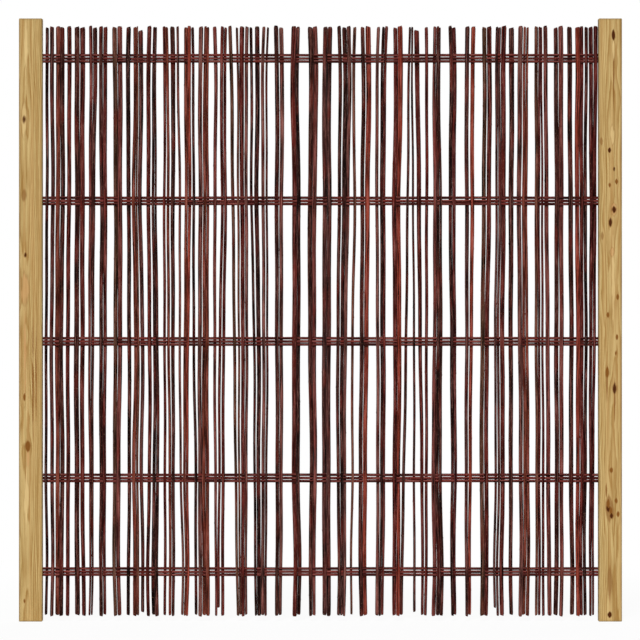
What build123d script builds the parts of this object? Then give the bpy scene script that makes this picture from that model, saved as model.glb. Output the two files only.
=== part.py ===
from build123d import *
import os
from collections import namedtuple
from math import copysign, cos, sin

# A woven willow fence panel: two pine stiles, five bands of three rails, and willow uprights that
# are woven through the bands. Millimetres. The origin is midway between the stiles at their feet,
# +Z is up and -Y is the front.

# Pine stiles
PANEL_HEIGHT = 1800
PANEL_WIDTH = 1800
STILE_WIDTH = 70
STILE_DEPTH = 45
STILE_EDGE_RADIUS = 4
STILE_END_CHAMFER = 1.5

# Rails: five bands of three thin rods, each rod's ends in blind sockets in the stiles
RAIL_DIAMETER = 7.8
RAIL_SIDES = 16
LOWER_RAIL_SPACE = 1.1
UPPER_RAIL_SPACE = 1.8
SOCKET_DEPTH = 25
SOCKET_CLEARANCE = 0.15
LOWEST_BAND_HEIGHT = 148
TOP_BAND_DROP = 118
# Distances from band to band, from the lowest up, in proportion to each other
BAND_STEPS = [280, 408, 420, 426]

# Willow uprights: where they are cut off, and how closely they lie
FOOT_HEIGHT = 17.5
HEAD_DROP = 24
UNEVEN_CUT = 2
ROD_CLEARANCE = 0.4
RAIL_CLEARANCE = 0.25
TAIL_SPRING = 1
MOST_SWAY = 2.5
SWAY_SHARE = 0.35
ROD_SIDES = 8
# Radians from one rod or bundle to the next in the sine patterns, which therefore never repeat
CUT_TURN = 2.4
SWAY_TURN = 1.9

# The willow in the order it is woven, left to right, one bundle to a line and each line a node. Of
# each rod: the open space left of it and its diameter at its foot, then the same two at its head.
# A rod with no open space lies against the rod before it. The heads are stouter than listed, by a factor.
HEAD_STOUTNESS = 1.05
WILLOW = [
    [(6, 8, 8, 9), (9, 10, 5, 11.5)],
    [(4, 12, 5, 12.5), (0, 12, 0, 12.5), (6, 11, 8, 12)],
    [(18, 14.5, 12, 14), (4.5, 11.5, 0, 14.5)],
    [(8.5, 5.5, 14, 9.5), (0, 5.5, 0, 12.5)],
    [(21.5, 10.5, 7, 11), (0, 8.5, 0, 11.5)],
    [(24.5, 10, 16, 13), (0, 11.5, 0, 13.5)],
    [(17, 9.5, 15, 12.5)],
    [(9, 11, 6.5, 9.5), (0, 8, 0, 4), (5, 9.5, 0, 12.5)],
    [(8.5, 9.5, 15.5, 12), (5, 10, 4, 7), (0, 11, 0, 4)],
    [(13, 8, 18, 7.5), (8, 8, 0, 8), (0, 8.5, 6, 13)],
    [(20, 7, 6.5, 7), (0, 6.5, 17, 10), (0, 6.5, 0, 10)],
    [(19, 8.5, 0, 7.5)],
    [(2.5, 11, 17.5, 12), (0, 11, 2.5, 8), (0, 11, 0, 6.5)],
    [(15, 7, 11, 10.5)],
    [(0, 7, 14.5, 9), (3.5, 9.5, 0, 8)],
    [(39, 7.5, 3.5, 10), (0, 6, 12.5, 6.5)],
    [(0, 9.5, 5.5, 13), (0, 7.5, 2, 10)],
    [(23.5, 7, 2, 8), (0, 11, 7.5, 13)],
    [(0, 10, 9.5, 9), (0, 7, 4, 6)],
    [(25.5, 10, 15.5, 12.5), (0, 9.5, 2, 12)],
    [(33, 12.5, 28, 14), (0, 10.5, 0, 9.5)],
    [(26, 9.5, 26.5, 13.5), (0, 9.5, 0, 13.5)],
    [(20, 12, 20.5, 12.5), (0, 12, 0, 13)],
    [(18.5, 9, 16, 10), (0, 7.5, 4, 12.5), (0, 7.5, 0, 11.5)],
    [(15.5, 6.5, 8, 9)],
    [(21.5, 11.5, 13, 11), (0, 11.5, 2.5, 15)],
    [(24.5, 10, 20, 9), (0, 7, 6.5, 8), (0, 7, 0, 8)],
    [(28, 11, 17, 11.5), (0, 10.5, 0, 14)],
    [(0, 9.5, 21.5, 6.5), (31, 7.5, 0, 5.5)],
    [(16, 8, 2.5, 14), (0, 8.5, 19, 9)],
    [(14.5, 11.5, 19, 9), (0, 11, 0, 7.5), (0, 10.5, 0, 4)],
    [(24, 8, 25, 10), (0, 7.5, 0, 11)],
    [(26.5, 8.5, 31, 12.5), (0, 8.5, 6, 12)],
    [(27, 12, 20.5, 11.5), (0, 12, 2.5, 13)],
    [(17.5, 7, 13, 7), (2, 7, 0, 8), (2, 12, 0, 14)],
    [(18, 11, 8, 15)],
    [(15.5, 11, 12.5, 13.5), (0, 10, 2.5, 7), (0, 10, 0, 6.5)],
    [(19, 7.5, 20, 10), (0, 7.5, 0, 5.5)],
    [(5.5, 8, 0, 5.5), (7, 12.5, 2.5, 11.5)],
    [(5.5, 13, 22.5, 12), (2.5, 11, 0, 13.5)],
    [(22, 12.5, 15, 13.5)],
    [(5, 10.5, 9.5, 13), (0, 10, 0, 11), (0, 9.5, 2.5, 9.5)],
    [(8.5, 7, 3.5, 12), (0, 6, 0, 12)],
]
# The open space right of the last rod, at its foot and at its head
LAST_SPACE = (14, 1)
# Rods cut short, by their number from the left, and by how much
SHORT_FEET = {17: 9, 32: 22, 62: 13, 74: 21}
SHORT_HEADS = {17: 8, 63: 11}

# What follows from these sizes
CLEAR_WIDTH = PANEL_WIDTH - 2 * STILE_WIDTH
RAIL_OFFSETS = [0, RAIL_DIAMETER + LOWER_RAIL_SPACE, 2 * RAIL_DIAMETER + LOWER_RAIL_SPACE + UPPER_RAIL_SPACE]
BAND_RANGE = PANEL_HEIGHT - TOP_BAND_DROP - LOWEST_BAND_HEIGHT
BAND_HEIGHTS = [
    LOWEST_BAND_HEIGHT + BAND_RANGE * sum(BAND_STEPS[:band]) / sum(BAND_STEPS)
    for band in range(len(BAND_STEPS) + 1)
]
SHORTEST_STEP = BAND_RANGE * min(BAND_STEPS) / sum(BAND_STEPS)

Rod = namedtuple("Rod", "foot_x foot_radius head_x head_radius")


def rail_heights(band):
    """Heights of one band's rails, from the lowest up."""
    lowest = BAND_HEIGHTS[band] - RAIL_OFFSETS[-1] / 2
    return [lowest + offset for offset in RAIL_OFFSETS]


def round_bar(diameter, length):
    """A bar along X about its middle, its many sides standing for a round section."""
    section = Plane.YZ * RegularPolygon(diameter / 2, RAIL_SIDES, major_radius=False)
    return extrude(section, length / 2, both=True)


def stile(side):
    """The left (side -1) or right (side +1) stile, with a socket for the end of each rail."""
    middle = side * (CLEAR_WIDTH + STILE_WIDTH) / 2
    post = Pos(middle, 0, PANEL_HEIGHT / 2) * Box(STILE_WIDTH, STILE_DEPTH, PANEL_HEIGHT)
    post = fillet(post.edges().filter_by(Axis.Z), STILE_EDGE_RADIUS)
    post = chamfer(post.faces().filter_by(Axis.Z).edges(), STILE_END_CHAMFER)
    drill = round_bar(RAIL_DIAMETER + 2 * SOCKET_CLEARANCE, 2 * SOCKET_DEPTH)
    for band in range(len(BAND_HEIGHTS)):
        for height in rail_heights(band):
            post -= Pos(side * CLEAR_WIDTH / 2, 0, height) * drill
    return post


def rail(height):
    """One thin round rod from socket to socket."""
    length = CLEAR_WIDTH + 2 * (SOCKET_DEPTH - SOCKET_CLEARANCE)
    return Pos(0, 0, height) * round_bar(RAIL_DIAMETER, length)


def lay_out(spaces, diameters):
    """The rods' middles across the panel at one end, with the open spaces scaled to fill its clear width."""
    open_width = CLEAR_WIDTH - sum(diameters) - ROD_CLEARANCE * len(spaces)
    scale = open_width / sum(spaces)
    middles = []
    edge = -CLEAR_WIDTH / 2
    for space, diameter in zip(spaces, diameters):
        edge += ROD_CLEARANCE + space * scale
        middles.append(edge + diameter / 2)
        edge += diameter
    return middles


def rods():
    """Every upright of the schedule, with its middle and its radius at the foot and at the head."""
    foot_spaces, foot_diameters, head_spaces, listed_heads = zip(*sum(WILLOW, []))
    head_diameters = [HEAD_STOUTNESS * diameter for diameter in listed_heads]
    feet = lay_out([*foot_spaces, LAST_SPACE[0]], foot_diameters)
    heads = lay_out([*head_spaces, LAST_SPACE[1]], head_diameters)
    return [
        Rod(foot_x, foot_diameter / 2, head_x, head_diameter / 2)
        for foot_x, foot_diameter, head_x, head_diameter in zip(feet, foot_diameters, heads, head_diameters)
    ]


def mix(low, high, share):
    """A value that goes evenly from low to high as share goes from 0 to 1."""
    return low + (high - low) * share


def sway(bundle, band, share):
    """How far a bundle wanders sideways at a band, kept within the open space on both of its sides."""
    before = WILLOW[bundle][0]
    after = WILLOW[bundle + 1][0] if bundle + 1 < len(WILLOW) else (LAST_SPACE[0], 0, LAST_SPACE[1], 0)
    free = min(mix(side[0], side[2], share) for side in (before, after))
    return min(MOST_SWAY, SWAY_SHARE * free) * sin(SWAY_TURN * (bundle + 1) * (band + 1))


def reach(radius):
    """How far a rod's middle stands from the rails' plane at a band.

    It bends there, so that its near face is still clear of the band's outer rails.
    """
    straight = RAIL_DIAMETER / 2 + RAIL_CLEARANCE + radius
    return straight / (1 - RAIL_OFFSETS[-1] / SHORTEST_STEP)


def tail_y(y):
    """Depth of a rod's cut end, which springs out a little past its depth y at the outer band."""
    return y + copysign(TAIL_SPRING, y)


def upright(rod, number, bundle):
    """One willow rod, in front of one band and behind the next, and its neighbour the other way."""
    foot = FOOT_HEIGHT + UNEVEN_CUT * sin(CUT_TURN * number) + SHORT_FEET.get(number, 0)
    head = PANEL_HEIGHT - HEAD_DROP + UNEVEN_CUT * cos(CUT_TURN * number) - SHORT_HEADS.get(number, 0)
    first_side = 1 if number % 2 else -1
    bends = []
    for band, height in enumerate(BAND_HEIGHTS):
        share = (height - foot) / (head - foot)
        radius = mix(rod.foot_radius, rod.head_radius, share)
        x = mix(rod.foot_x, rod.head_x, share) + sway(bundle, band, share)
        y = first_side * (-1) ** band * reach(radius)
        bends.append((x, y, height, radius))
    foot_end = (rod.foot_x, tail_y(bends[0][1]), foot, rod.foot_radius)
    head_end = (rod.head_x, tail_y(bends[-1][1]), head, rod.head_radius)
    profiles = [
        Pos(x, y, z) * RegularPolygon(radius, ROD_SIDES, major_radius=False, rotation=180 / ROD_SIDES)
        for x, y, z, radius in [foot_end, *bends, head_end]
    ]
    return loft(profiles, ruled=True)


def save(name, solids):
    """Writes one node of one or more separate solids."""
    shape = solids[0] if len(solids) == 1 else Compound(children=solids)
    export_step(shape, f"parts/{name}.step")


def main():
    os.makedirs("parts", exist_ok=True)
    save("left_stile", [stile(-1)])
    save("right_stile", [stile(1)])
    for band in range(len(BAND_HEIGHTS)):
        for place, height in enumerate(rail_heights(band), 1):
            save(f"band_{band + 1}_rail_{place}", [rail(height)])
    laid_out = rods()
    number = 0
    for bundle, schedule in enumerate(WILLOW):
        solids = []
        for _ in schedule:
            number += 1
            solids.append(upright(laid_out[number - 1], number, bundle))
        save(f"uprights_{bundle + 1:02d}", solids)


main()
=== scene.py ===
import math

import bpy
import numpy as np
from bpy.props import FloatProperty, FloatVectorProperty, IntProperty, PointerProperty
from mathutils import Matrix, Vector


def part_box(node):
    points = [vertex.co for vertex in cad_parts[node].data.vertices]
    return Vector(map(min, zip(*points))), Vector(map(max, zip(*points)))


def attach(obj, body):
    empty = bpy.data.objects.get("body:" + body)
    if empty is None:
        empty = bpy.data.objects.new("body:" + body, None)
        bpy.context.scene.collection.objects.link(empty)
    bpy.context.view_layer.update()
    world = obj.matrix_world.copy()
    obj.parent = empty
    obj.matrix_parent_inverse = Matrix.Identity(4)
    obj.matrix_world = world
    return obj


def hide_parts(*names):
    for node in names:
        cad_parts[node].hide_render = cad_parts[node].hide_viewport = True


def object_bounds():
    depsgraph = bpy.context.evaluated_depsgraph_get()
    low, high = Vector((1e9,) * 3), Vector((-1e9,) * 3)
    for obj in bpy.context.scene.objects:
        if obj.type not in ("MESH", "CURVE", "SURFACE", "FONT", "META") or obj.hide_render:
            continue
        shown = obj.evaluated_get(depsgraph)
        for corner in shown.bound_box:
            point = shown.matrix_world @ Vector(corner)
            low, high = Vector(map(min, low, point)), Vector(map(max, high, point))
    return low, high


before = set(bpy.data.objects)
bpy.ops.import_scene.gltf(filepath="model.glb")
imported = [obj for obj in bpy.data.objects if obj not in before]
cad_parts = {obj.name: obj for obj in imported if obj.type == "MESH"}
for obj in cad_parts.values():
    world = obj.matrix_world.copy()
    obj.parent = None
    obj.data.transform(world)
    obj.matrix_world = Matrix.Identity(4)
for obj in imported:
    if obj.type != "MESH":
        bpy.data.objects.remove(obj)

bl_info = {
    "name": "Woven Willow Fence Panel",
    "version": (1, 0, 0),
    "blender": (4, 5, 0),
    "location": "3D View > Sidebar > Fence Panel",
    "description": "Makes the willow rods, the rails, the pine stiles and the stage of a woven fence panel",
    "category": "Object",
}

# The plain solids, in metres: the panel's box, its nodes, the middle height of each band, the sides of a
# rod's section and how far its corners may lie from their level
CAD_LOW, CAD_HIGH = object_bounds()
UPRIGHT_NODES = sorted(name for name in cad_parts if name.startswith("uprights_"))
RAIL_NODES = sorted(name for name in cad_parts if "_rail_" in name)
RAILS_PER_BAND = 3
LOWEST_RAILS = RAIL_NODES[::RAILS_PER_BAND]
HIGHEST_RAILS = RAIL_NODES[RAILS_PER_BAND - 1 :: RAILS_PER_BAND]
BAND_HEIGHTS = [
    (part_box(lowest)[0].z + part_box(highest)[1].z) / 2
    for lowest, highest in zip(LOWEST_RAILS, HIGHEST_RAILS)
]
PLAIN_ROD_SIDES = 8
PLAIN_RAIL_SIDES = 16
LEVEL_SLACK = 0.0005

# Bark of each upright from left to right, ten to a word: K black, D dark, N dark mauve, M mauve,
# V mauve red, R dark red, P maroon, B red brown, F fox red, W brown, G green brown
BARKS = (
    "KNBDRDRVDD RGVKBWNRKD RBDMBFKMBB VRRGWRMKKM DDMRKDVNND "
    "KMWDFMKRRF DDRRVDDKPN FGRNNRDMBB WPPVDVDFRK PP"
)
BARK_OF_LETTER = {
    "K": "black",
    "D": "dark",
    "N": "dark_mauve",
    "M": "mauve",
    "V": "mauve_red",
    "R": "dark_red",
    "P": "maroon",
    "B": "red_brown",
    "F": "fox_red",
    "W": "brown",
    "G": "green_brown",
}

# A willow rod's grid, in metres: the step from ring to ring, the rings that are added at its ends and at
# each bud, and the distance within which rings are merged
ROD_SIDES = 16
RING_STEP = 0.014
END_MARGIN = 0.006
END_RINGS = np.array([0.0014, 0.0028, 0.0049])
RING_MERGE = 0.0007
BUD_RINGS = np.array([-0.003, -0.0012, 0, 0.0015, 0.0035, 0.006])

# Buds: their reach below, above and round the rod, the turn from one to the next, how far one strays from
# even spacing, as a share, and how far bands and ends are kept free of them
BUD_BELOW = 0.0013
BUD_ABOVE = 0.004
BUD_HALF_TURN = 0.5
BUD_TURN = math.radians(144)
BUD_STRAYS = 0.3
BUD_SPARED = 0.03

# Cut ends: the radii of their inner rings in shares, how steeply they slant, and by what share and over
# what length the rod narrows towards them
CUT_RIM = 0.93
CUT_MIDDLE = 0.5
CUT_SLOPE = 0.3
CUT_ROUNDING = 0.22
CUT_ROUNDING_REACH = 0.0028

# Waves in a rod's radius: the metres along the rod for a radian of each, and their weights
SWELL_LONG = 0.034
SWELL_SHORT = 0.0137
SWELL_SHORT_SHARE = 0.6
SWELL_WEIGHT = 0.45
OVAL_TWIST = 0.11
THREE_LOBE_TWIST = 0.07
THREE_LOBE_SHARE = 0.7
LOBE_WEIGHT = 0.4

# Waves in a rod's path, in radians to a metre: the drift's across the panel, its two along the rod and
# where the second starts, the bow's along the rod and how soon it sets in past a band, then a rail's
# slight wander, its height, its spread of starts, how long it keeps its strength towards the ends, and
# what sets the rails' random numbers apart from the uprights'
DRIFT_ACROSS = 17
DRIFT_ALONG = 11
DRIFT_FADES = 5.3
DRIFT_START = 1
BOW_ALONG = 9
BOW_SETS_IN = 40
RAIL_WANDER_ALONG = 9
RAIL_WANDER = 0.0003
RAIL_STARTS = 6
RAIL_FADES = 8
RAIL_SEED = 1000

# How much thicker a round rod is than its plain one, which keeps clear of its neighbours or its socket
ROD_SWELL = 0.0003
RAIL_SWELL = 0.0003
# The rails' spread of darkness, and the outer rails of a band against the middle one
RAIL_SHADES = (0.8, 1.1)
OUTER_RAIL_SHADE = 0.75

# Streaks of bark and of pine: their width across the grain and their length along it, in metres
BARK_BROAD = {"Width": 0.0032, "Length": 0.11}
BARK_FINE = {"Width": 0.0009, "Length": 0.03}
BARK_SLOW = {"Width": 0.05, "Length": 0.16}
PINE_BROAD = {"Width": 0.008, "Length": 0.6}
PINE_MIDDLING = {"Width": 0.0042, "Length": 0.22}
PINE_FINE = {"Width": 0.0011, "Length": 0.07}
PINE_FLECK = {"Width": 0.0014, "Length": 0.014}

# Bark: how dark it is between its streaks and how much lighter in them, then how far each finish covers it
BROAD_DARKEST = 0.02
BROAD_SPREAD = 1.25
FINE_DARKEST = 0.85
FINE_SPREAD = 0.3
BLUSH_COVER = 0.4
BLOOM_AND_HIGHLIGHT_COVER = 0.5
PORE_COVER = 0.35
BUD_COVER = 0.6
CUT_FINE_COVER = 0.4
# Where the red, the bloom with its painted highlight and a pore begin and are full, and how rough the bark is
# by its streaks and cuts
BLUSH_RANGE = (0.55, 1)
BLOOM_AND_HIGHLIGHT_RANGE = (0.3, 0.9)
PORE_RANGE = (0.2, 0.1)
FINE_ROUGHENS = 0.22
MEAN_ROUGHENS = 0.08
CUT_ROUGHENS = 0.3
# Sizes in metres, the strength of the relief with the weights of broad streaks and pores in it, and how
# far along its pattern a rod's bark may start
PORE_CELL = (0.0042, 0.0042, 0.009)
PITH_RADIUS = 0.0011
PITH_EDGE = 0.0002
BARK_RELIEF = 0.00018
BARK_BUMP = 0.8
BROAD_RELIEF = 0.5
PORE_RELIEF = 0.8
BARK_STARTS = 3

# Pine: the scale and reach of the rings' slow sway and quick ripple, in turns to a metre and in metres,
# how late in a year the dark wood comes, and how far each finish covers it
SWAY_SCALE = (20, 20, 2.2)
SWAY_REACH = 0.022
RIPPLE_SCALE = (90, 90, 14)
RIPPLE_REACH = 0.0022
LATE_POWER = 1.8
LATE_ENDS = (1, 0.8)
LATE_COVER = 0.9
FINE_COVER = 0.3
MIDDLING_COVER = 0.45
WARM_COVER = 0.45
FLECK_COVER = 0.25
FLECK_RANGE = (0.93, 1)
PINE_ROUGHENS = 0.12
PINE_RELIEF = 0.0002
PINE_BUMP = 0.5
# Painted shade at the stiles' edges and weathering at their ends: how near an edge it begins and is full, and
# how far it covers them
EDGE_BAND = (0.008, 0.0005)
EDGE_SHADE = 0.45
END_WEAR = 0.5

# A mark's lens: where its colour and its rim's two sides begin and are full
LENS_FILL = (1.25, 0.8)
RIM_INSIDE = (0.75, 1.1)
RIM_OUTSIDE = (1.7, 1.15)
# How uneven the marks' outlines are: shares of the ripple and of the fine streaks, and what is taken off
# so that they even out
RIPPLE_UNEVEN = 2.6
FINE_UNEVEN = 0.4
MEAN_UNEVEN = 1.5

# Marks in the pine, in millimetres from the stile's middle line and from its foot: kind, across,
# height, half width and half height
LEFT_MARKS = [
    ("pale", -13.6, 1694, 4, 104),
    ("flare", -19.3, 1498, 7, 54),
    ("dark", -19.3, 1498, 2.6, 8),
    ("faint", -19.6, 1273, 4, 11),
    ("dark", -14.8, 1094, 2, 5.5),
    ("pink", -17.7, 994, 11, 47),
    ("red", -16.6, 798, 3, 116),
    ("brown", 7.3, 733, 1.8, 137),
    ("brown", 16.2, 733, 1.6, 137),
    ("knot", -18.4, 670, 1.8, 6),
    ("knot", -7.7, 524, 3.6, 9),
    ("red", -7.7, 490, 2.6, 26),
    ("pale", -13.6, 367, 5, 106),
    ("knot", -18.4, 61, 1.8, 5),
    ("stripe", 20.7, 900, 4.5, 900),
]
RIGHT_MARKS = [
    ("dark", 9.5, 1750, 2.4, 9),
    ("pale", 9.5, 1708, 4, 30),
    ("brown", 10.1, 1622, 1.6, 84),
    ("flare", 6, 1452, 5, 30),
    ("faint", -27.8, 1433, 3, 7),
    ("dark", -1.6, 1407, 2, 4.5),
    ("dark", 11, 1351, 1.8, 4),
    ("knot", 18.4, 1313, 2, 4.5),
    ("knot", -2.8, 1303, 2, 4.5),
    ("pink", 11, 1229, 7, 20),
    ("dark", 11, 1229, 3, 6),
    ("dark", 0.5, 1192, 2.6, 8),
    ("faint", -23.7, 1151, 3, 7),
    ("pink", 6.2, 1103, 6, 12),
    ("knot", 21.7, 969, 2, 5),
    ("pale", 8.5, 1010, 4.5, 120),
    ("knot", -7, 915, 1.8, 4),
    ("knot", 19.9, 849, 1.8, 4.5),
    ("knot", 16.9, 801, 1.8, 4.5),
    ("knot", -9.9, 744, 2.8, 9),
    ("brown", -9.9, 715, 1.5, 52),
    ("dark", 13.6, 695, 2.8, 10),
    ("brown", 13.6, 655, 1.6, 60),
    ("knot", 3.2, 452, 2.2, 5),
    ("brown", -12, 394, 1.8, 18),
    ("knot", 17.8, 360, 2.2, 5),
    ("dark", -7, 339, 2.4, 6),
    ("smear", -2, 333, 9, 30),
    ("knot", -6, 352, 2, 6),
    ("knot", 1.5, 331, 2, 7),
    ("knot", 22.9, 321, 2.2, 5),
    ("dark", 3.5, 315, 2.2, 5),
    ("smear", -1, 115, 6, 46),
    ("dark", -1.6, 21, 2.4, 5),
]
# The pith line of each stile's tree, in metres from the stile's middle
LEFT_PITH = (-0.016, 0.03, 0)
RIGHT_PITH = (0.008, 0.035, 0)
# How each kind of mark colours the wood, how strongly, how dark its rim is, how far it pushes the grain
# aside, and how many times its half size it reaches
MARK_KINDS = {
    "dark": ("knot_dark", 1, 0.55, 0.8, 1.75),
    "knot": ("knot_brown", 1, 0.4, 0.7, 1.75),
    "faint": ("knot_brown", 0.6, 0.3, 0.6, 1.7),
    "pink": ("knot_halo", 0.6, 0.3, 0.35, 1),
    "smear": ("knot_brown", 0.65, 0.3, 0.5, 1.2),
    "red": ("knot_halo", 0.7, 0, 0, 1.1),
    "brown": ("knot_brown", 0.85, 0, 0, 1.2),
    "stripe": ("late_wood", 0.35, 0, 0, 1),
    "pale": ("sap_wood", 0.6, 0.15, 0.25, 1),
    "flare": ("sap_wood", 0.5, 0.25, 0.5, 1),
}
# Half the depth of a mark, so great that it runs through the stile, and how far a mark pushes the grain
MARK_DEPTH = 1000
PUSH_REACH = (3.2, 0.4)

MM_IN_METRE = 1000

# The photograph's frame: its size, the panel's height in it and how far right of its middle the panel is,
# in pixels, and the camera's sensor in millimetres
PHOTO_PIXELS = 640
PANEL_PIXELS = 603.2
PANEL_RIGHT_PIXELS = 0.45
SENSOR_WIDTH = 36

# Lamps: their apparent size in degrees, and where they stand from the panel
KEY_SIZE = 14
KEY_TOWARD = (-0.1, -1, 0.65)
BACK_SIZE = 30
BACK_TOWARD = (0.2, 1, 0.35)
# The floor, in metres: half its side, how far it lies under the feet, and where its glow rises from the
# near strength to full white
FLOOR_REACH = 12
FLOOR_DROP = 0.0002
GLOW_RISE = (0.8, 3.5)
NEAR_GLOW = 0.93


def shown(red, green, blue):
    """Turns a colour as a screen shows it, 0 to 255, into the linear values that a shader takes."""
    return tuple(((part / 255 + 0.055) / 1.055) ** 2.4 for part in (red, green, blue))


def colour(name, description, red, green, blue):
    """A colour that a user can change."""
    return FloatVectorProperty(
        name=name,
        description=description,
        subtype="COLOR",
        size=3,
        min=0,
        max=1,
        default=shown(red, green, blue),
    )


def distance_setting(name, description, metres):
    """A length that a user can change."""
    return FloatProperty(name=name, description=description, default=metres, min=0, subtype="DISTANCE")


def share_setting(name, description, value):
    """A number from 0 to 1 that a user can change."""
    return FloatProperty(name=name, description=description, default=value, min=0, max=1)


def strength_setting(name, description, value):
    """A light's strength that a user can change."""
    return FloatProperty(name=name, description=description, default=value, min=0)


class FENCE_PG_willow(bpy.types.PropertyGroup):
    """The willow rods' bark and shape."""

    black: colour("Black", "Blackened bark", 40, 16, 12)
    dark: colour("Dark", "Dark brown bark", 62, 29, 23)
    dark_mauve: colour("Dark mauve", "Dark bark with a mauve bloom", 78, 43, 39)
    mauve: colour("Mauve", "Brown bark with a mauve bloom", 110, 66, 59)
    mauve_red: colour("Mauve red", "Red bark with a mauve bloom", 110, 55, 49)
    dark_red: colour("Dark red", "Dark red bark", 88, 30, 24)
    maroon: colour("Maroon", "Maroon bark", 78, 26, 24)
    red_brown: colour("Red brown", "Red-brown bark", 116, 53, 38)
    fox_red: colour("Fox red", "The brightest red bark", 140, 56, 40)
    brown: colour("Brown", "Brown bark", 103, 61, 46)
    green_brown: colour("Green brown", "Bark with a green cast", 80, 51, 36)
    # Waxy bloom that is also a painted highlight: it lies on the lightest streaks in place of a glossy strip
    bloom_and_highlight: colour("Bloom", "Waxy bloom on the bark", 160, 112, 104)
    blush: colour("Blush", "Red that comes and goes along a rod", 118, 42, 34)
    lenticel: colour("Lenticel", "Pores in the bark", 176, 132, 102)
    cut_wood: colour("Cut wood", "Weathered wood of the cut ends", 104, 78, 60)
    pith: colour("Pith", "Soft middle of the cut ends", 58, 38, 30)
    rail: colour("Rail", "Bark of the rails", 112, 45, 39)
    bark_roughness: share_setting("Roughness", "Roughness of the bark", 0.45)
    bark_gloss: share_setting("Gloss", "Specular level of the bark", 0.03)
    bud_space: distance_setting("Bud spacing", "Distance from bud to bud along a rod", 0.095)
    bud_height: distance_setting("Bud height", "How far a bud stands out", 0.0006)
    unevenness: share_setting("Unevenness", "Share by which a rod's radius varies", 0.035)
    drift: distance_setting("Drift", "How far the rods drift sideways together", 0.0012)
    bow: distance_setting("Bow", "How far a rod bows in depth between two bands", 0.001)
    seed: IntProperty(name="Seed", description="Start of the rods' random numbers", default=41)


class FENCE_PG_pine(bpy.types.PropertyGroup):
    """The pine of the stiles."""

    early_wood: colour("Early wood", "The pale part of each ring", 203, 179, 123)
    late_wood: colour("Late wood", "The darker part of each ring", 146, 111, 56)
    warm_wood: colour("Warm wood", "Streaks of a warmer colour", 186, 147, 93)
    sap_wood: colour("Sap wood", "Pale streaks and flares", 216, 188, 132)
    knot_dark: colour("Dark knot", "Dead knots and resin", 68, 30, 0)
    knot_brown: colour("Brown knot", "Sound knots and brown lines", 122, 76, 28)
    knot_halo: colour("Knot halo", "Wood around a knot", 190, 144, 94)
    # A greyer colour: weathering on the ends, and painted shade on the rounded edges
    weathered_and_edge_shade: colour("Weathered and edge shade", "Edges and ends", 132, 112, 76)
    ring_pitch: distance_setting("Ring pitch", "Width of one year's growth", 0.0034)
    pine_roughness: share_setting("Roughness", "Roughness of the wood", 0.62)
    pine_gloss: share_setting("Gloss", "Specular level of the wood", 0.06)


class FENCE_PG_stage(bpy.types.PropertyGroup):
    """The camera, the light and the floor."""

    camera_distance: distance_setting("Camera distance", "From the panel's middle plane", 14)
    key: strength_setting("Key light", "Strength of the key light", 3.05)
    back: strength_setting("Back light", "Strength of the light from behind", 1.6)
    ambient: strength_setting("Ambient light", "Strength of the light from all round", 0.09)
    floor: colour("Floor", "The plain pale floor", 250, 250, 250)


def fill_socket(tree, socket, value):
    """Links an output to a socket, or writes a plain value into it."""
    if isinstance(value, bpy.types.NodeSocket):
        tree.links.new(value, socket)
    else:
        socket.default_value = value


def add(tree, kind, inputs=None, **settings):
    """Adds a node with its settings, and fills the named inputs."""
    made = tree.nodes.new(kind)
    for name, value in settings.items():
        setattr(made, name, value)
    for name, value in (inputs or {}).items():
        fill_socket(tree, made.inputs[name], value)
    return made


def maths(tree, operation, *values):
    """One sum on numbers. Gives its output."""
    made = tree.nodes.new("ShaderNodeMath")
    made.operation = operation
    for socket, value in zip(made.inputs, values):
        fill_socket(tree, socket, value)
    return made.outputs[0]


def vectors(tree, operation, *values):
    """One sum on vectors. Gives its vector output, or the length where that is asked for."""
    made = tree.nodes.new("ShaderNodeVectorMath")
    made.operation = operation
    for socket, value in zip(made.inputs, values):
        fill_socket(tree, socket, value)
    return made.outputs["Value" if operation in ("LENGTH", "DISTANCE") else "Vector"]


def eased(tree, value, start, end):
    """Rises smoothly from 0 to 1 as the value goes from start to end, also where end is the lower."""
    made = add(tree, "ShaderNodeMapRange", interpolation_type="SMOOTHSTEP", clamp=True)
    low, high = min(start, end), max(start, end)
    to_low, to_high = (0, 1) if end > start else (1, 0)
    for socket, number in zip(made.inputs, (value, low, high, to_low, to_high)):
        fill_socket(tree, socket, number)
    return made.outputs[0]


def blended(tree, share, base, other, kind="MIX"):
    """Mixes two colours. Gives the mixed colour."""
    made = add(tree, "ShaderNodeMix", data_type="RGBA", blend_type=kind, clamp_factor=True)
    for socket, value in zip((made.inputs[0], made.inputs[6], made.inputs[7]), (share, base, other)):
        fill_socket(tree, socket, (*value, 1) if isinstance(value, tuple) else value)
    return made.outputs[2]


def new_group(name, inputs, outputs):
    """A shader node group with named sockets. Gives the tree and its two end nodes' sockets."""
    tree = bpy.data.node_groups.new(name, "ShaderNodeTree")
    kinds = {"value": "NodeSocketFloat", "vector": "NodeSocketVector", "colour": "NodeSocketColor"}
    for label, kind in inputs.items():
        tree.interface.new_socket(label, in_out="INPUT", socket_type=kinds[kind])
    for label, kind in outputs.items():
        tree.interface.new_socket(label, in_out="OUTPUT", socket_type=kinds[kind])
    return tree, tree.nodes.new("NodeGroupInput").outputs, tree.nodes.new("NodeGroupOutput").inputs


def use_group(tree, group, **inputs):
    """Places a group in a tree and fills its inputs. An underscore in a name stands for a space."""
    made = add(tree, "ShaderNodeGroup", node_tree=group)
    for name, value in inputs.items():
        fill_socket(tree, made.inputs[name.replace("_", " ")], value)
    return made.outputs


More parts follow.
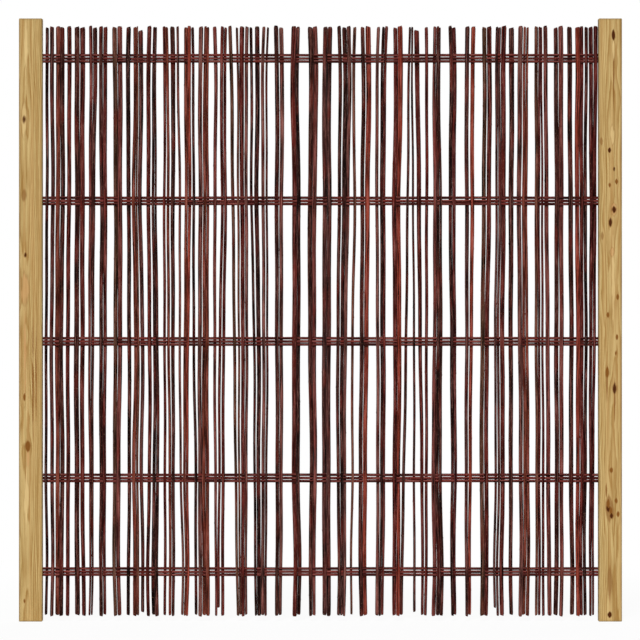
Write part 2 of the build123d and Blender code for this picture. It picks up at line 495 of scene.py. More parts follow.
def fibre_group():
    """Streaks that run along the third axis: noise on (x / width, y / width, z / length)."""
    inputs = {"Place": "vector", "Width": "value", "Length": "value"}
    tree, given, result = new_group("Fibre", inputs, {"Streak": "value"})
    sides = {"X": given["Width"], "Y": given["Width"], "Z": given["Length"]}
    size = add(tree, "ShaderNodeCombineXYZ", sides).outputs[0]
    place = vectors(tree, "DIVIDE", given["Place"], size)
    noise = add(tree, "ShaderNodeTexNoise", {"Vector": place, "Scale": 1.0, "Detail": 2.0, "Roughness": 0.55})
    tree.links.new(eased(tree, noise.outputs[0], 0.3, 0.7), result["Streak"])
    return tree


def bark_group(fibre, willow):
    """Bark colour and relief, from the place on the rod: across it in x and y, and along it in z."""
    tree, given, result = new_group(
        "Bark",
        {"Place": "vector", "Tone": "colour", "Bud": "value", "Cut": "value"},
        {"Color": "colour", "Roughness": "value", "Height": "value"},
    )
    place = given["Place"]
    broad = use_group(tree, fibre, Place=place, **BARK_BROAD)["Streak"]
    fine = use_group(tree, fibre, Place=place, **BARK_FINE)["Streak"]
    slow = use_group(tree, fibre, Place=place, **BARK_SLOW)["Streak"]

    shade = maths(tree, "MULTIPLY_ADD", broad, BROAD_SPREAD, BROAD_DARKEST)
    shade = maths(tree, "MULTIPLY", shade, maths(tree, "MULTIPLY_ADD", fine, FINE_SPREAD, FINE_DARKEST))
    bark = vectors(tree, "SCALE", given["Tone"])
    fill_socket(tree, bark.node.inputs["Scale"], shade)
    blushed = maths(tree, "MULTIPLY", eased(tree, slow, *BLUSH_RANGE), BLUSH_COVER)
    bark = blended(tree, blushed, bark, tuple(willow.blush))
    # Waxy bloom and a painted highlight in one: the bloom colour is laid where broad and fine streaks are
    # both light
    both = maths(tree, "MULTIPLY", broad, fine)
    bloom_and_highlight_share = maths(tree, "MULTIPLY", eased(tree, both, *BLOOM_AND_HIGHLIGHT_RANGE), BLOOM_AND_HIGHLIGHT_COVER)
    bark = blended(tree, bloom_and_highlight_share, bark, tuple(willow.bloom_and_highlight))

    cells = vectors(tree, "DIVIDE", place, PORE_CELL)
    pores = add(tree, "ShaderNodeTexVoronoi", {"Vector": cells, "Scale": 1.0})
    pore = eased(tree, pores.outputs["Distance"], *PORE_RANGE)
    bark = blended(tree, maths(tree, "MULTIPLY", pore, PORE_COVER), bark, tuple(willow.lenticel))
    bark = blended(tree, maths(tree, "MULTIPLY", given["Bud"], BUD_COVER), bark, tuple(willow.black))

    from_pith = vectors(tree, "LENGTH", vectors(tree, "MULTIPLY", place, (1, 1, 0)))
    in_pith = eased(tree, from_pith, PITH_RADIUS + PITH_EDGE, PITH_RADIUS - PITH_EDGE)
    wood = blended(tree, in_pith, tuple(willow.cut_wood), tuple(willow.pith))
    wood = blended(tree, maths(tree, "MULTIPLY", fine, CUT_FINE_COVER), wood, tuple(willow.dark))
    tree.links.new(blended(tree, given["Cut"], bark, wood), result["Color"])

    rough = maths(tree, "MULTIPLY_ADD", fine, FINE_ROUGHENS, -MEAN_ROUGHENS)
    cut_rough = maths(tree, "MULTIPLY_ADD", given["Cut"], CUT_ROUGHENS, willow.bark_roughness)
    rough = maths(tree, "ADD", rough, cut_rough)
    tree.links.new(rough, result["Roughness"])
    relief = maths(tree, "MULTIPLY_ADD", broad, BROAD_RELIEF, fine)
    tree.links.new(maths(tree, "MULTIPLY_ADD", pore, PORE_RELIEF, relief), result["Height"])
    return tree


def bark_material(name, group, willow):
    """Willow bark that follows each rod by the rod's own place attribute."""
    material = bpy.data.materials.new(name)
    material.use_nodes = True
    tree = material.node_tree
    shader = tree.nodes["Principled BSDF"]
    read = {
        label: add(tree, "ShaderNodeAttribute", attribute_name=label)
        for label in ("bark_place", "bark_tone", "bud", "cut")
    }
    bark = use_group(
        tree,
        group,
        Place=read["bark_place"].outputs["Vector"],
        Tone=read["bark_tone"].outputs["Color"],
        Bud=read["bud"].outputs["Fac"],
        Cut=read["cut"].outputs["Fac"],
    )
    heights = {"Height": bark["Height"], "Distance": BARK_RELIEF, "Strength": BARK_BUMP}
    bump = add(tree, "ShaderNodeBump", heights)
    tree.links.new(bark["Color"], shader.inputs["Base Color"])
    tree.links.new(bark["Roughness"], shader.inputs["Roughness"])
    tree.links.new(bump.outputs[0], shader.inputs["Normal"])
    shader.inputs["Specular IOR Level"].default_value = willow.bark_gloss
    return material


def smooth_line(stops, values, slopes, at):
    """The cubic Hermite line through the values at the stops, with the given slope at each stop.

    Between stops a and b, a span s apart, with t from 0 to 1:
    a (1 + 2t)(1 - t)^2 + b t^2 (3 - 2t) + s (slope_a t (1 - t)^2 - slope_b t^2 (1 - t)).
    """
    left = np.clip(np.searchsorted(stops, at) - 1, 0, len(stops) - 2)
    span = stops[left + 1] - stops[left]
    t = (at - stops[left]) / span
    ends = values[left] * (1 + 2 * t) * (1 - t) ** 2 + values[left + 1] * t**2 * (3 - 2 * t)
    return ends + span * (slopes[left] * t * (1 - t) ** 2 - slopes[left + 1] * t**2 * (1 - t))


def plain_rods(node):
    """The plain rods of a node: for each, its middles at its foot, at every band and at its head, and
    its radii there. A rod is the corners of a plain section, and the rods lie side by side in x."""
    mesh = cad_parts[node].data
    corners = np.empty(len(mesh.vertices) * 3, np.float32)
    mesh.vertices.foreach_get("co", corners)
    corners = np.unique(corners.reshape(-1, 3).astype(float).round(6), axis=0)
    height = corners[:, 2]
    levels = [height < BAND_HEIGHTS[0] - LEVEL_SLACK]
    levels += [abs(height - band) < LEVEL_SLACK for band in BAND_HEIGHTS]
    levels += [height > BAND_HEIGHTS[-1] + LEVEL_SLACK]
    sections = [corners[level] for level in levels]
    sections = [section[np.argsort(section[:, 0])].reshape(-1, PLAIN_ROD_SIDES, 3) for section in sections]
    sections = np.stack(sections, axis=1)
    return sections.mean(axis=2), np.ptp(sections[..., 0], axis=2) / 2


def bud_relief(along, angles, buds, turns):
    """Buds on a rod's grid: 1 at each bud's middle, falling off as exp(-(distance / reach)^2) along the
    rod, with a shorter reach below the bud than above it, and in the same way round the rod."""
    away = along[None, :, None] - buds[:, None, None]
    reach = np.where(away < 0, BUD_BELOW, BUD_ABOVE)
    round_by = (angles[None, None, :] - turns[:, None, None] + math.pi) % (2 * math.pi) - math.pi
    return np.exp(-((away / reach) ** 2) - (round_by / BUD_HALF_TURN) ** 2).sum(axis=0)


def rod_surface(path, along, radius, side, buds, willow, random):
    """The closed surface of one rod: c(s) + r(s, a) (cos(a) u(s) + sin(a) v(s)), where c is the path, u
    and v stand square to it, and r is the radius times 1 plus slow waves along and round the rod, plus
    the buds. Rings drawn in at both ends, and a point in the middle of each, close it, and the rings of a
    cut are shifted along the rod by its slope times their reach towards one side.
    Gives the points, four-sided faces, end triangles and the attributes of every point."""
    angles = np.arange(ROD_SIDES) * 2 * math.pi / ROD_SIDES
    phases = random.uniform(0, 2 * math.pi, 5)
    tangent = np.gradient(path, along, axis=0)
    tangent /= np.linalg.norm(tangent, axis=1, keepdims=True)
    u = side - tangent * (tangent @ side)[:, None]
    u /= np.linalg.norm(u, axis=1, keepdims=True)
    v = np.cross(tangent, u)

    swelling = np.sin(along / SWELL_LONG + phases[0])
    swelling = swelling + SWELL_SHORT_SHARE * np.sin(along / SWELL_SHORT + phases[1])
    lobes = np.sin(2 * angles[None] + along[:, None] / OVAL_TWIST + phases[2])
    three_lobes = np.sin(3 * angles[None] - along[:, None] / THREE_LOBE_TWIST + phases[3])
    lobes = lobes + THREE_LOBE_SHARE * three_lobes
    uneven = SWELL_WEIGHT * swelling[:, None] + LOBE_WEIGHT * lobes
    turns = random.uniform(0, 2 * math.pi) + BUD_TURN * np.arange(len(buds))
    bud = bud_relief(along, angles, buds, turns)
    reach = radius[:, None] * (1 + willow.unevenness * uneven) + willow.bud_height * bud

    drawn_in = np.array([CUT_MIDDLE, CUT_RIM])
    share = np.concatenate([drawn_in, np.ones(len(along)), drawn_in[::-1]])
    ring = np.concatenate([[0, 0], np.arange(len(along)), [len(along) - 1] * 2])
    reach = reach[ring] * share[:, None]
    flat = np.stack([reach * np.cos(angles), reach * np.sin(angles)], axis=-1)
    points = path[ring][:, None] + flat[..., :1] * u[ring][:, None] + flat[..., 1:] * v[ring][:, None]
    slope = CUT_SLOPE * (reach * np.cos(angles - phases[4]))[..., None] * tangent[ring][:, None]
    points[:3] += slope[:3]
    points[-3:] -= slope[-3:]

    rings = len(share)
    column = np.arange(ROD_SIDES)
    after = (column + 1) % ROD_SIDES
    start = np.arange(rings - 1)[:, None] * ROD_SIDES
    ring_above = start + ROD_SIDES
    quads = np.stack([start + column, start + after, ring_above + after, ring_above + column], axis=-1)
    poles = rings * ROD_SIDES + np.array([0, 1])
    last = (rings - 1) * ROD_SIDES
    foot_fan = np.stack([np.full(ROD_SIDES, poles[0]), after, column], axis=-1)
    head_fan = np.stack([last + column, last + after, np.full(ROD_SIDES, poles[1])], axis=-1)

    offset = random.uniform(0, BARK_STARTS, 3)
    heights = np.broadcast_to(along[ring][:, None, None], (*flat.shape[:2], 1))
    place = np.concatenate([flat, heights], axis=-1)
    pole_places = np.array([[0, 0, along[0]], [0, 0, along[-1]]])
    place = np.concatenate([place.reshape(-1, 3), pole_places]) + offset * (0, 0, 1)
    cut = np.repeat((share < 1).astype(float), ROD_SIDES)
    return {
        "points": np.concatenate([points.reshape(-1, 3), path[[0, -1]]]),
        "quads": quads.reshape(-1, 4),
        "triangles": np.concatenate([foot_fan, head_fan]),
        "bark_place": place,
        "bud": np.append(np.minimum(bud[ring], 1).ravel(), [0, 0]),
        "cut": np.append(cut, [1, 1]),
    }


def rod_object(name, rods, tones, material):
    """One piece of one or more rods, put into a mesh as whole arrays. It stands for the node of its name."""
    starts = np.cumsum([0] + [len(rod["points"]) for rod in rods[:-1]])
    joined = {
        key: np.concatenate([rod[key] for rod in rods]) for key in ("points", "bark_place", "bud", "cut")
    }
    quads = np.concatenate([rod["quads"] + start for rod, start in zip(rods, starts)])
    triangles = np.concatenate([rod["triangles"] + start for rod, start in zip(rods, starts)])
    corners = np.concatenate([quads.ravel(), triangles.ravel()])
    sizes = np.repeat([4, 3], [len(quads), len(triangles)])
    painted = [np.tile([*tone, 1], (len(rod["points"]), 1)) for rod, tone in zip(rods, tones)]
    colours = np.concatenate(painted)

    mesh = bpy.data.meshes.new(name)
    mesh.vertices.add(len(joined["points"]))
    mesh.vertices.foreach_set("co", joined["points"].ravel())
    mesh.loops.add(len(corners))
    mesh.loops.foreach_set("vertex_index", corners)
    mesh.polygons.add(len(sizes))
    mesh.polygons.foreach_set("loop_start", np.cumsum(sizes) - sizes)
    mesh.update(calc_edges=True)
    mesh.shade_smooth()
    for key, kind, member, values in (
        ("bark_place", "FLOAT_VECTOR", "vector", joined["bark_place"]),
        ("bark_tone", "FLOAT_COLOR", "color", colours),
        ("bud", "FLOAT", "value", joined["bud"]),
        ("cut", "FLOAT", "value", joined["cut"]),
    ):
        mesh.attributes.new(key, kind, "POINT").data.foreach_set(member, values.ravel())
    if mesh.validate():
        raise RuntimeError(f"{name} has bad faces")
    mesh.materials.append(material)
    piece = bpy.data.objects.new(f"{name}_willow", mesh)
    bpy.context.scene.collection.objects.link(piece)
    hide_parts(name)
    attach(piece, "root")
    return piece


def bud_heights(foot, head, willow, random):
    """Heights of a rod's buds: evenly spaced, each moved a little, and none near a band or an end."""
    first = foot + willow.bud_space * random.uniform(BUD_STRAYS, 1)
    buds = np.arange(first, head, willow.bud_space)
    buds += random.uniform(-BUD_STRAYS, BUD_STRAYS, len(buds)) * willow.bud_space
    spared = np.abs(buds[:, None] - np.array(BAND_HEIGHTS)).min(axis=1) > BUD_SPARED
    return buds[spared & (buds > foot + BUD_SPARED) & (buds < head - BUD_SPARED)]


def ring_heights(foot, head, buds):
    """Heights of a rod's rings, from foot to head: even steps, and closer ones at the buds and the ends."""
    inner = np.concatenate([np.arange(foot, head, RING_STEP), (buds[:, None] + BUD_RINGS).ravel()])
    inner = inner[(inner > foot + END_MARGIN) & (inner < head - END_MARGIN)]
    inner = np.concatenate([inner, foot + END_RINGS, head - END_RINGS])
    return np.concatenate([[foot], np.unique((inner / RING_MERGE).round()) * RING_MERGE, [head]])


def between_bands(along):
    """0 at each band and 1 a little way from it: the product over the bands of 2 sin^2 of a quarter turn
    for each metre from the band, times a number that brings it up soon, and at most 1."""
    quarter_turns = (along[:, None] - np.array(BAND_HEIGHTS)) * math.pi / 2
    return np.minimum(np.prod(2 * np.sin(quarter_turns) ** 2, axis=1) * BOW_SETS_IN, 1)


def upright_rod(middles, radii, willow, random):
    """One upright. Its path passes through the plain rod's middles: in x a smooth line through them plus
    a drift that neighbours share, in y a line that lies level at each band, with a slight bow between.
    Its radius goes evenly from stop to stop, times 1 - c exp(-(distance / r)^2) for each cut end."""
    stops = middles[:, 2]
    foot, head = stops[0], stops[-1]
    buds = bud_heights(foot, head, willow, random)
    along = ring_heights(foot, head, buds)

    x = smooth_line(stops, middles[:, 0], np.gradient(middles[:, 0], stops), along)
    y = smooth_line(stops, middles[:, 1], np.zeros(len(stops)), along)
    drift = np.sin(x * DRIFT_ACROSS + along * DRIFT_ALONG) * np.sin(along * DRIFT_FADES + DRIFT_START)
    x = x + willow.drift * drift
    y = y + willow.bow * random.uniform(-1, 1) * between_bands(along) * np.sin(along * BOW_ALONG)
    from_ends = np.stack([along - foot, head - along])
    rounding = np.exp(-((from_ends / CUT_ROUNDING_REACH) ** 2)).sum(axis=0)
    radius = (np.interp(along, stops, radii) + ROD_SWELL) * (1 - CUT_ROUNDING * rounding)
    path = np.stack([x, y, along], axis=-1)
    return rod_surface(path, along, radius, np.array([1.0, 0, 0]), buds, willow, random)


def rail_rod(node, willow, random):
    """One rail: straight from socket to socket, with its middle a little off the line between the stiles."""
    low, high = (np.array(corner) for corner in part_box(node))
    along = np.linspace(low[0], high[0], int((high[0] - low[0]) / RING_STEP) + 1)
    middle = (low + high) / 2
    path = np.tile(middle, (len(along), 1))
    path[:, 0] = along
    loose = 1 - np.clip(np.abs(along) / high[0], 0, 1) ** RAIL_FADES
    start = random.uniform(0, RAIL_STARTS)
    path[:, 2] += loose * RAIL_WANDER * np.sin(along * RAIL_WANDER_ALONG + start)
    flat_radius = (high[1] - low[1]) / 2 * math.cos(math.pi / PLAIN_RAIL_SIDES)
    radius = np.full(len(along), flat_radius + RAIL_SWELL)
    return rod_surface(path, along, radius, np.array([0, 0, 1.0]), np.empty(0), willow, random)


class FENCE_OT_uprights(bpy.types.Operator):
    """Make the round willow uprights that stand for the plain ones"""

    bl_idname = "fence.uprights"
    bl_label = "Make willow uprights"

    def execute(self, context):
        willow = context.scene.fence_willow
        material = bark_material("upright_bark", shared_group("Bark"), willow)
        letters = iter(BARKS.replace(" ", ""))
        for number, node in enumerate(UPRIGHT_NODES):
            rods = []
            tones = []
            for place, (middles, radii) in enumerate(zip(*plain_rods(node))):
                random = np.random.default_rng([willow.seed, number, place])
                rods.append(upright_rod(middles, radii, willow, random))
                tones.append(tuple(getattr(willow, BARK_OF_LETTER[next(letters)])))
            rod_object(node, rods, tones, material)
        if next(letters, None):
            raise RuntimeError("there are more barks than uprights")
        return {"FINISHED"}


class FENCE_OT_rails(bpy.types.Operator):
    """Make the round rails that stand for the plain ones"""

    bl_idname = "fence.rails"
    bl_label = "Make rails"

    def execute(self, context):
        willow = context.scene.fence_willow
        material = bark_material("rail_bark", shared_group("Bark"), willow)
        for number, node in enumerate(RAIL_NODES):
            random = np.random.default_rng([willow.seed, RAIL_SEED, number])
            middle_one = number % RAILS_PER_BAND == RAILS_PER_BAND // 2
            shade = random.uniform(*RAIL_SHADES) * (1 if middle_one else OUTER_RAIL_SHADE)
            tone = np.array(willow.rail) * shade
            rod_object(node, [rail_rod(node, willow, random)], [tone], material)
        return {"FINISHED"}


def push_group():
    """How far the grain beside a mark is pushed across, on top of the push that is given: the distance
    across from the mark's middle, times a share that fades out with the distance in half sizes."""
    tree, given, result = new_group(
        "Grain Push",
        {"Place": "vector", "Middle": "vector", "Half Size": "vector", "Shove": "value", "Push": "value"},
        {"Push": "value"},
    )
    away = vectors(tree, "SUBTRACT", given["Place"], given["Middle"])
    ellipse = vectors(tree, "LENGTH", vectors(tree, "DIVIDE", away, given["Half Size"]))
    across = add(tree, "ShaderNodeSeparateXYZ", {"Vector": away}).outputs[0]
    shove = maths(tree, "MULTIPLY", eased(tree, ellipse, *PUSH_REACH), given["Shove"])
    tree.links.new(maths(tree, "MULTIPLY_ADD", across, shove, given["Push"]), result["Push"])
    return tree


def mark_group(pine):
    """A mark in the wood: a lens about its middle, pointed above and below, as seen from the front. With
    x and z in shares of its half size, it is where |x| + z^2 is under 1. Its outline is made uneven, a
    brown rim is put round it, and it is laid over the given colour."""
    tree, given, result = new_group(
        "Mark",
        {
            "Place": "vector",
            "Middle": "vector",
            "Half Size": "vector",
            "Uneven": "value",
            "Strength": "value",
            "Rim": "value",
            "Tint": "colour",
            "Color": "colour",
        },
        {"Color": "colour"},
    )
    away = vectors(tree, "SUBTRACT", given["Place"], given["Middle"])
    away = vectors(tree, "DIVIDE", away, given["Half Size"])
    across, _, along = add(tree, "ShaderNodeSeparateXYZ", {"Vector": away}).outputs
    lens = maths(tree, "MULTIPLY_ADD", along, along, maths(tree, "ABSOLUTE", across))
    lens = maths(tree, "ADD", lens, given["Uneven"])
    rim = maths(tree, "MULTIPLY", eased(tree, lens, *RIM_INSIDE), eased(tree, lens, *RIM_OUTSIDE))
    rim = maths(tree, "MULTIPLY", rim, given["Rim"])
    rimmed = blended(tree, rim, given["Color"], tuple(pine.knot_brown))
    share = maths(tree, "MULTIPLY", eased(tree, lens, *LENS_FILL), given["Strength"])
    tree.links.new(blended(tree, share, rimmed, given["Tint"]), result["Color"])
    return tree


def grain_group(fibre, pine):
    """Pine round a pith line beside the stile: the colour turns from early to late wood across each
    growth ring, the ring being the distance from the pith over the ring pitch."""
    tree, given, result = new_group(
        "Pine Grain",
        {"Place": "vector", "Push": "value", "Pith": "vector"},
        {"Color": "colour", "Roughness": "value", "Height": "value", "Uneven": "value"},
    )
    scaled = vectors(tree, "MULTIPLY", given["Place"], SWAY_SCALE)
    sway = add(tree, "ShaderNodeTexNoise", {"Vector": scaled, "Scale": 1.0, "Detail": 2.0})
    scaled = vectors(tree, "MULTIPLY", given["Place"], RIPPLE_SCALE)
    ripple = add(tree, "ShaderNodeTexNoise", {"Vector": scaled, "Scale": 1.0, "Detail": 2.0})
    aside = add(tree, "ShaderNodeCombineXYZ", {"X": maths(tree, "MULTIPLY", given["Push"], -1.0)})
    place = vectors(tree, "ADD", given["Place"], aside.outputs[0])
    place = vectors(tree, "SUBTRACT", place, given["Pith"])
    radial = vectors(tree, "LENGTH", vectors(tree, "MULTIPLY", place, (1, 1, 0)))
    radial = maths(tree, "MULTIPLY_ADD", sway.outputs[0], SWAY_REACH, radial)
    radial = maths(tree, "MULTIPLY_ADD", ripple.outputs[0], RIPPLE_REACH, radial)
    ring = maths(tree, "FRACT", maths(tree, "DIVIDE", radial, pine.ring_pitch))
    late = maths(tree, "MULTIPLY", maths(tree, "POWER", ring, LATE_POWER), eased(tree, ring, *LATE_ENDS))

    broad = use_group(tree, fibre, Place=given["Place"], **PINE_BROAD)["Streak"]
    middling = use_group(tree, fibre, Place=given["Place"], **PINE_MIDDLING)["Streak"]
    fine = use_group(tree, fibre, Place=given["Place"], **PINE_FINE)["Streak"]
    fleck = use_group(tree, fibre, Place=given["Place"], **PINE_FLECK)["Streak"]
    share = maths(tree, "MULTIPLY_ADD", late, LATE_COVER, maths(tree, "MULTIPLY", fine, FINE_COVER))
    share = maths(tree, "MULTIPLY_ADD", middling, MIDDLING_COVER, share)
    wood = blended(tree, share, tuple(pine.early_wood), tuple(pine.late_wood))
    wood = blended(tree, maths(tree, "MULTIPLY", broad, WARM_COVER), wood, tuple(pine.warm_wood))
    flecked = maths(tree, "MULTIPLY", eased(tree, fleck, *FLECK_RANGE), FLECK_COVER)
    wood = blended(tree, flecked, wood, tuple(pine.knot_brown))
    tree.links.new(wood, result["Color"])
    uneven = maths(tree, "MULTIPLY", fine, FINE_UNEVEN)
    uneven = maths(tree, "MULTIPLY_ADD", ripple.outputs[0], RIPPLE_UNEVEN, uneven)
    tree.links.new(maths(tree, "SUBTRACT", uneven, MEAN_UNEVEN), result["Uneven"])
    smoothest = pine.pine_roughness - PINE_ROUGHENS / 2
    tree.links.new(maths(tree, "MULTIPLY_ADD", fine, PINE_ROUGHENS, smoothest), result["Roughness"])
    tree.links.new(fine, result["Height"])
    return tree


def edge_group(half_size):
    """How close a place is to one of the stile's edges: 1 where it is near two faces at once. The half
    size is the stile's."""
    tree, given, result = new_group("Edge", {"Place": "vector"}, {"Mask": "value"})
    away = add(tree, "ShaderNodeSeparateXYZ", {"Vector": vectors(tree, "ABSOLUTE", given["Place"])}).outputs
    near = [
        eased(tree, away[axis], half_size[axis] - EDGE_BAND[0], half_size[axis] - EDGE_BAND[1])
        for axis in range(3)
    ]
    pairs = [maths(tree, "MULTIPLY", near[one], near[other]) for one, other in ((0, 1), (1, 2), (0, 2))]
    most = maths(tree, "MAXIMUM", maths(tree, "MAXIMUM", pairs[0], pairs[1]), pairs[2])
    tree.links.new(most, result["Mask"])
    return tree


def pine_material(name, node, marks, pith, pine):
    """Planed pine with this stile's knots, streaks and resin lines. It reads Object coordinates, which a
    Mapping node centres on the stile."""
    low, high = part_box(node)
    middle = (low + high) / 2
    material = bpy.data.materials.new(name)
    material.use_nodes = True
    tree = material.node_tree
    shader = tree.nodes["Principled BSDF"]
    source = add(tree, "ShaderNodeTexCoord").outputs["Object"]
    place = add(tree, "ShaderNodeMapping", {"Vector": source, "Location": tuple(-middle)}).outputs[0]

    placed = []
    push = 0.0
    # The tallest marks come first, so that small knots lie on top of them
    for kind, across, height, half_width, half_height in sorted(marks, key=lambda mark: -mark[4]):
        tint, strength, rim, shove, growth = MARK_KINDS[kind]
        spot = {
            "Place": place,
            "Middle": (across / MM_IN_METRE, 0, height / MM_IN_METRE - middle.z),
            "Half_Size": (
                growth * half_width / MM_IN_METRE,
                MARK_DEPTH,
                growth * half_height / MM_IN_METRE,
            ),
        }
        placed.append({**spot, "Strength": strength, "Rim": rim, "Tint": (*getattr(pine, tint), 1)})
        if shove:
            push = use_group(tree, shared_group("Grain Push"), **spot, Shove=shove, Push=push)["Push"]
    wood = use_group(tree, shared_group("Pine Grain"), Place=place, Push=push, Pith=pith)
    shade = wood["Color"]
    for mark in placed:
        shade = use_group(tree, shared_group("Mark"), **mark, Uneven=wood["Uneven"], Color=shade)["Color"]

    # Near two faces at once the wood turns greyer as painted shade on the rounded edges; the end faces turn
    # greyer as weathered end grain
    edge = use_group(tree, shared_group("Edge"), Place=place)["Mask"]
    facing = add(tree, "ShaderNodeNewGeometry").outputs["Normal"]
    upward = maths(tree, "ABSOLUTE", add(tree, "ShaderNodeSeparateXYZ", {"Vector": facing}).outputs[2])
    shaded_edge = maths(tree, "MULTIPLY", edge, EDGE_SHADE)
    worn_and_shaded = maths(tree, "MAXIMUM", shaded_edge, maths(tree, "MULTIPLY", upward, END_WEAR))
    shade = blended(tree, worn_and_shaded, shade, tuple(pine.weathered_and_edge_shade))
    heights = {"Height": wood["Height"], "Distance": PINE_RELIEF, "Strength": PINE_BUMP}
    bump = add(tree, "ShaderNodeBump", heights)
    tree.links.new(shade, shader.inputs["Base Color"])
    tree.links.new(wood["Roughness"], shader.inputs["Roughness"])
    tree.links.new(bump.outputs[0], shader.inputs["Normal"])
    shader.inputs["Specular IOR Level"].default_value = pine.pine_gloss
    return material


class FENCE_OT_stiles(bpy.types.Operator):
    """Give the two stiles their pine"""

    bl_idname = "fence.stiles"
    bl_label = "Finish pine stiles"

    def execute(self, context):
        pine = context.scene.fence_pine
        finishes = [
            ("left_stile", LEFT_MARKS, LEFT_PITH),
            ("right_stile", RIGHT_MARKS, RIGHT_PITH),
        ]
        for node, marks, pith in finishes:
            material = pine_material(f"{node}_pine", node, marks, pith, pine)
            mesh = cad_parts[node].data
            mesh.materials.clear()
            mesh.materials.append(material)
        return {"FINISHED"}


def shared_group(name):
    """A node group that several materials use, made the first time that it is asked for."""
    found = bpy.data.node_groups.get(name)
    if found:
        return found
    scene = bpy.context.scene
    low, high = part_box("left_stile")
    makers = {
        "Fibre": fibre_group,
        "Bark": lambda: bark_group(shared_group("Fibre"), scene.fence_willow),
        "Grain Push": push_group,
        "Mark": lambda: mark_group(scene.fence_pine),
        "Pine Grain": lambda: grain_group(shared_group("Fibre"), scene.fence_pine),
        "Edge": lambda: edge_group((high - low) / 2),
    }
    return makers[name]()


def seen_directly(tree):
    """1 where the camera, a reflection or a refraction looks, and 0 for the light on the object."""
    path = add(tree, "ShaderNodeLightPath").outputs
    seen = maths(tree, "MAXIMUM", path["Is Camera Ray"], path["Is Glossy Ray"])
    return maths(tree, "MAXIMUM", seen, path["Is Transmission Ray"])


def floor_object(stage):
    """The floor: a level sheet at the stiles' feet. Its own glow takes over towards its rim, so that it
    runs into the white background, and near the panel it still shows a faint shadow."""
    mesh = bpy.data.meshes.new("floor")
    corners = [(x * FLOOR_REACH, y * FLOOR_REACH) for x, y in ((-1, -1), (1, -1), (1, 1), (-1, 1))]
    mesh.from_pydata([(x, y, CAD_LOW.z - FLOOR_DROP) for x, y in corners], [], [(0, 1, 2, 3)])
    floor = bpy.data.objects.new("floor", mesh)
    bpy.context.scene.collection.objects.link(floor)

    material = bpy.data.materials.new("floor_paint")
    material.use_nodes = True
    tree = material.node_tree
    tree.nodes.clear()
    place = add(tree, "ShaderNodeTexCoord").outputs["Object"]
    far = eased(tree, vectors(tree, "LENGTH", place), *GLOW_RISE)
    glow = maths(tree, "MULTIPLY_ADD", far, 1 - NEAR_GLOW, NEAR_GLOW)
    paint = add(tree, "ShaderNodeBsdfDiffuse", {"Color": (*stage.floor, 1)})
    white = add(tree, "ShaderNodeEmission", {"Color": (1, 1, 1, 1), "Strength": 1.0})
    mix = add(tree, "ShaderNodeMixShader", {0: maths(tree, "MULTIPLY", seen_directly(tree), glow)})
    tree.links.new(paint.outputs[0], mix.inputs[1])
    tree.links.new(white.outputs[0], mix.inputs[2])
    output = add(tree, "ShaderNodeOutputMaterial")
    tree.links.new(mix.outputs[0], output.inputs["Surface"])
    mesh.materials.append(material)


def sun(name, strength, size, toward):
    """A soft light from far away, at the direction given from the object."""
    lamp = bpy.data.lights.new(name, "SUN")
    lamp.energy = strength
    lamp.angle = math.radians(size)
    holder = bpy.data.objects.new(name, lamp)
    holder.rotation_euler = Vector(toward).to_track_quat("Z", "Y").to_euler()
    bpy.context.scene.collection.objects.link(holder)


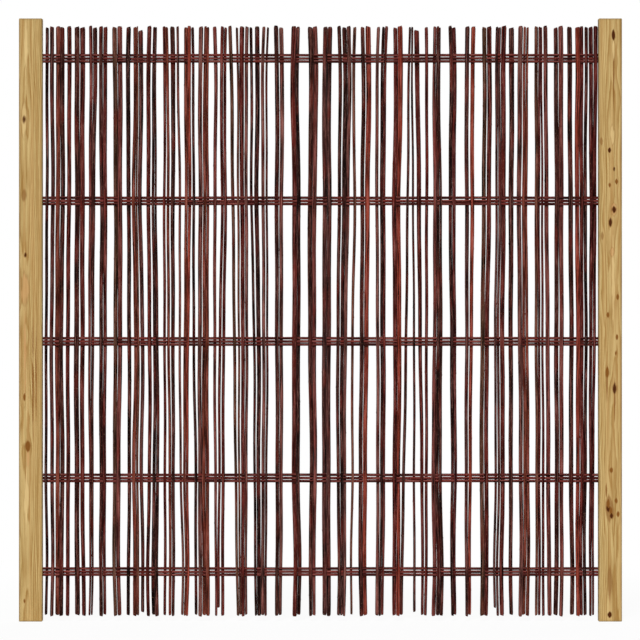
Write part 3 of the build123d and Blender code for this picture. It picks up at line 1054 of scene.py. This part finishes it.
class FENCE_OT_stage(bpy.types.Operator):
    """Set up the camera, the soft light, the floor and the white background"""

    bl_idname = "fence.stage"
    bl_label = "Set the stage"

    def execute(self, context):
        scene = context.scene
        stage = scene.fence_stage
        scene.view_settings.view_transform = "Standard"

        view_width = PHOTO_PIXELS * (CAD_HIGH.z - CAD_LOW.z) / PANEL_PIXELS
        camera = bpy.data.objects.new("camera", bpy.data.cameras.new("camera"))
        camera.data.sensor_width = SENSOR_WIDTH
        camera.data.lens = SENSOR_WIDTH * (stage.camera_distance + CAD_LOW.y) / view_width
        aside = -PANEL_RIGHT_PIXELS * view_width / PHOTO_PIXELS
        camera.location = (aside, -stage.camera_distance, (CAD_LOW.z + CAD_HIGH.z) / 2)
        camera.rotation_euler = (math.pi / 2, 0, 0)
        scene.collection.objects.link(camera)
        scene.camera = camera

        sun("key_light", stage.key, KEY_SIZE, KEY_TOWARD)
        sun("back_light", stage.back, BACK_SIZE, BACK_TOWARD)
        floor_object(stage)
        world = bpy.data.worlds.new("white_studio")
        world.use_nodes = True
        tree = world.node_tree
        tree.nodes.clear()
        light = add(tree, "ShaderNodeBackground", {"Color": (1, 1, 1, 1), "Strength": stage.ambient})
        white = add(tree, "ShaderNodeBackground", {"Color": (1, 1, 1, 1), "Strength": 1.0})
        mix = add(tree, "ShaderNodeMixShader", {0: seen_directly(tree)})
        tree.links.new(light.outputs[0], mix.inputs[1])
        tree.links.new(white.outputs[0], mix.inputs[2])
        tree.links.new(mix.outputs[0], add(tree, "ShaderNodeOutputWorld").inputs["Surface"])
        scene.world = world
        return {"FINISHED"}


class FENCE_PT_panel(bpy.types.Panel):
    """The fence panel's sizes, colours and pieces"""

    bl_label = "Fence Panel"
    bl_idname = "FENCE_PT_panel"
    bl_space_type = "VIEW_3D"
    bl_region_type = "UI"
    bl_category = "Fence Panel"

    def draw(self, context):
        for operators, settings in (
            ((FENCE_OT_uprights, FENCE_OT_rails), context.scene.fence_willow),
            ((FENCE_OT_stiles,), context.scene.fence_pine),
            ((FENCE_OT_stage,), context.scene.fence_stage),
        ):
            box = self.layout.box()
            for name in settings.bl_rna.properties.keys():
                if name not in ("rna_type", "name"):
                    box.prop(settings, name)
            for operator in operators:
                box.operator(operator.bl_idname)


CLASSES = (
    FENCE_PG_willow,
    FENCE_PG_pine,
    FENCE_PG_stage,
    FENCE_OT_uprights,
    FENCE_OT_rails,
    FENCE_OT_stiles,
    FENCE_OT_stage,
    FENCE_PT_panel,
)


def register():
    for made in CLASSES:
        bpy.utils.register_class(made)
    bpy.types.Scene.fence_willow = PointerProperty(type=FENCE_PG_willow)
    bpy.types.Scene.fence_pine = PointerProperty(type=FENCE_PG_pine)
    bpy.types.Scene.fence_stage = PointerProperty(type=FENCE_PG_stage)


def unregister():
    del bpy.types.Scene.fence_stage
    del bpy.types.Scene.fence_pine
    del bpy.types.Scene.fence_willow
    for made in reversed(CLASSES):
        bpy.utils.unregister_class(made)


def main():
    register()
    bpy.ops.fence.stage()
    bpy.ops.fence.stiles()
    bpy.ops.fence.rails()
    bpy.ops.fence.uprights()


if __name__ == "__main__":
    main()
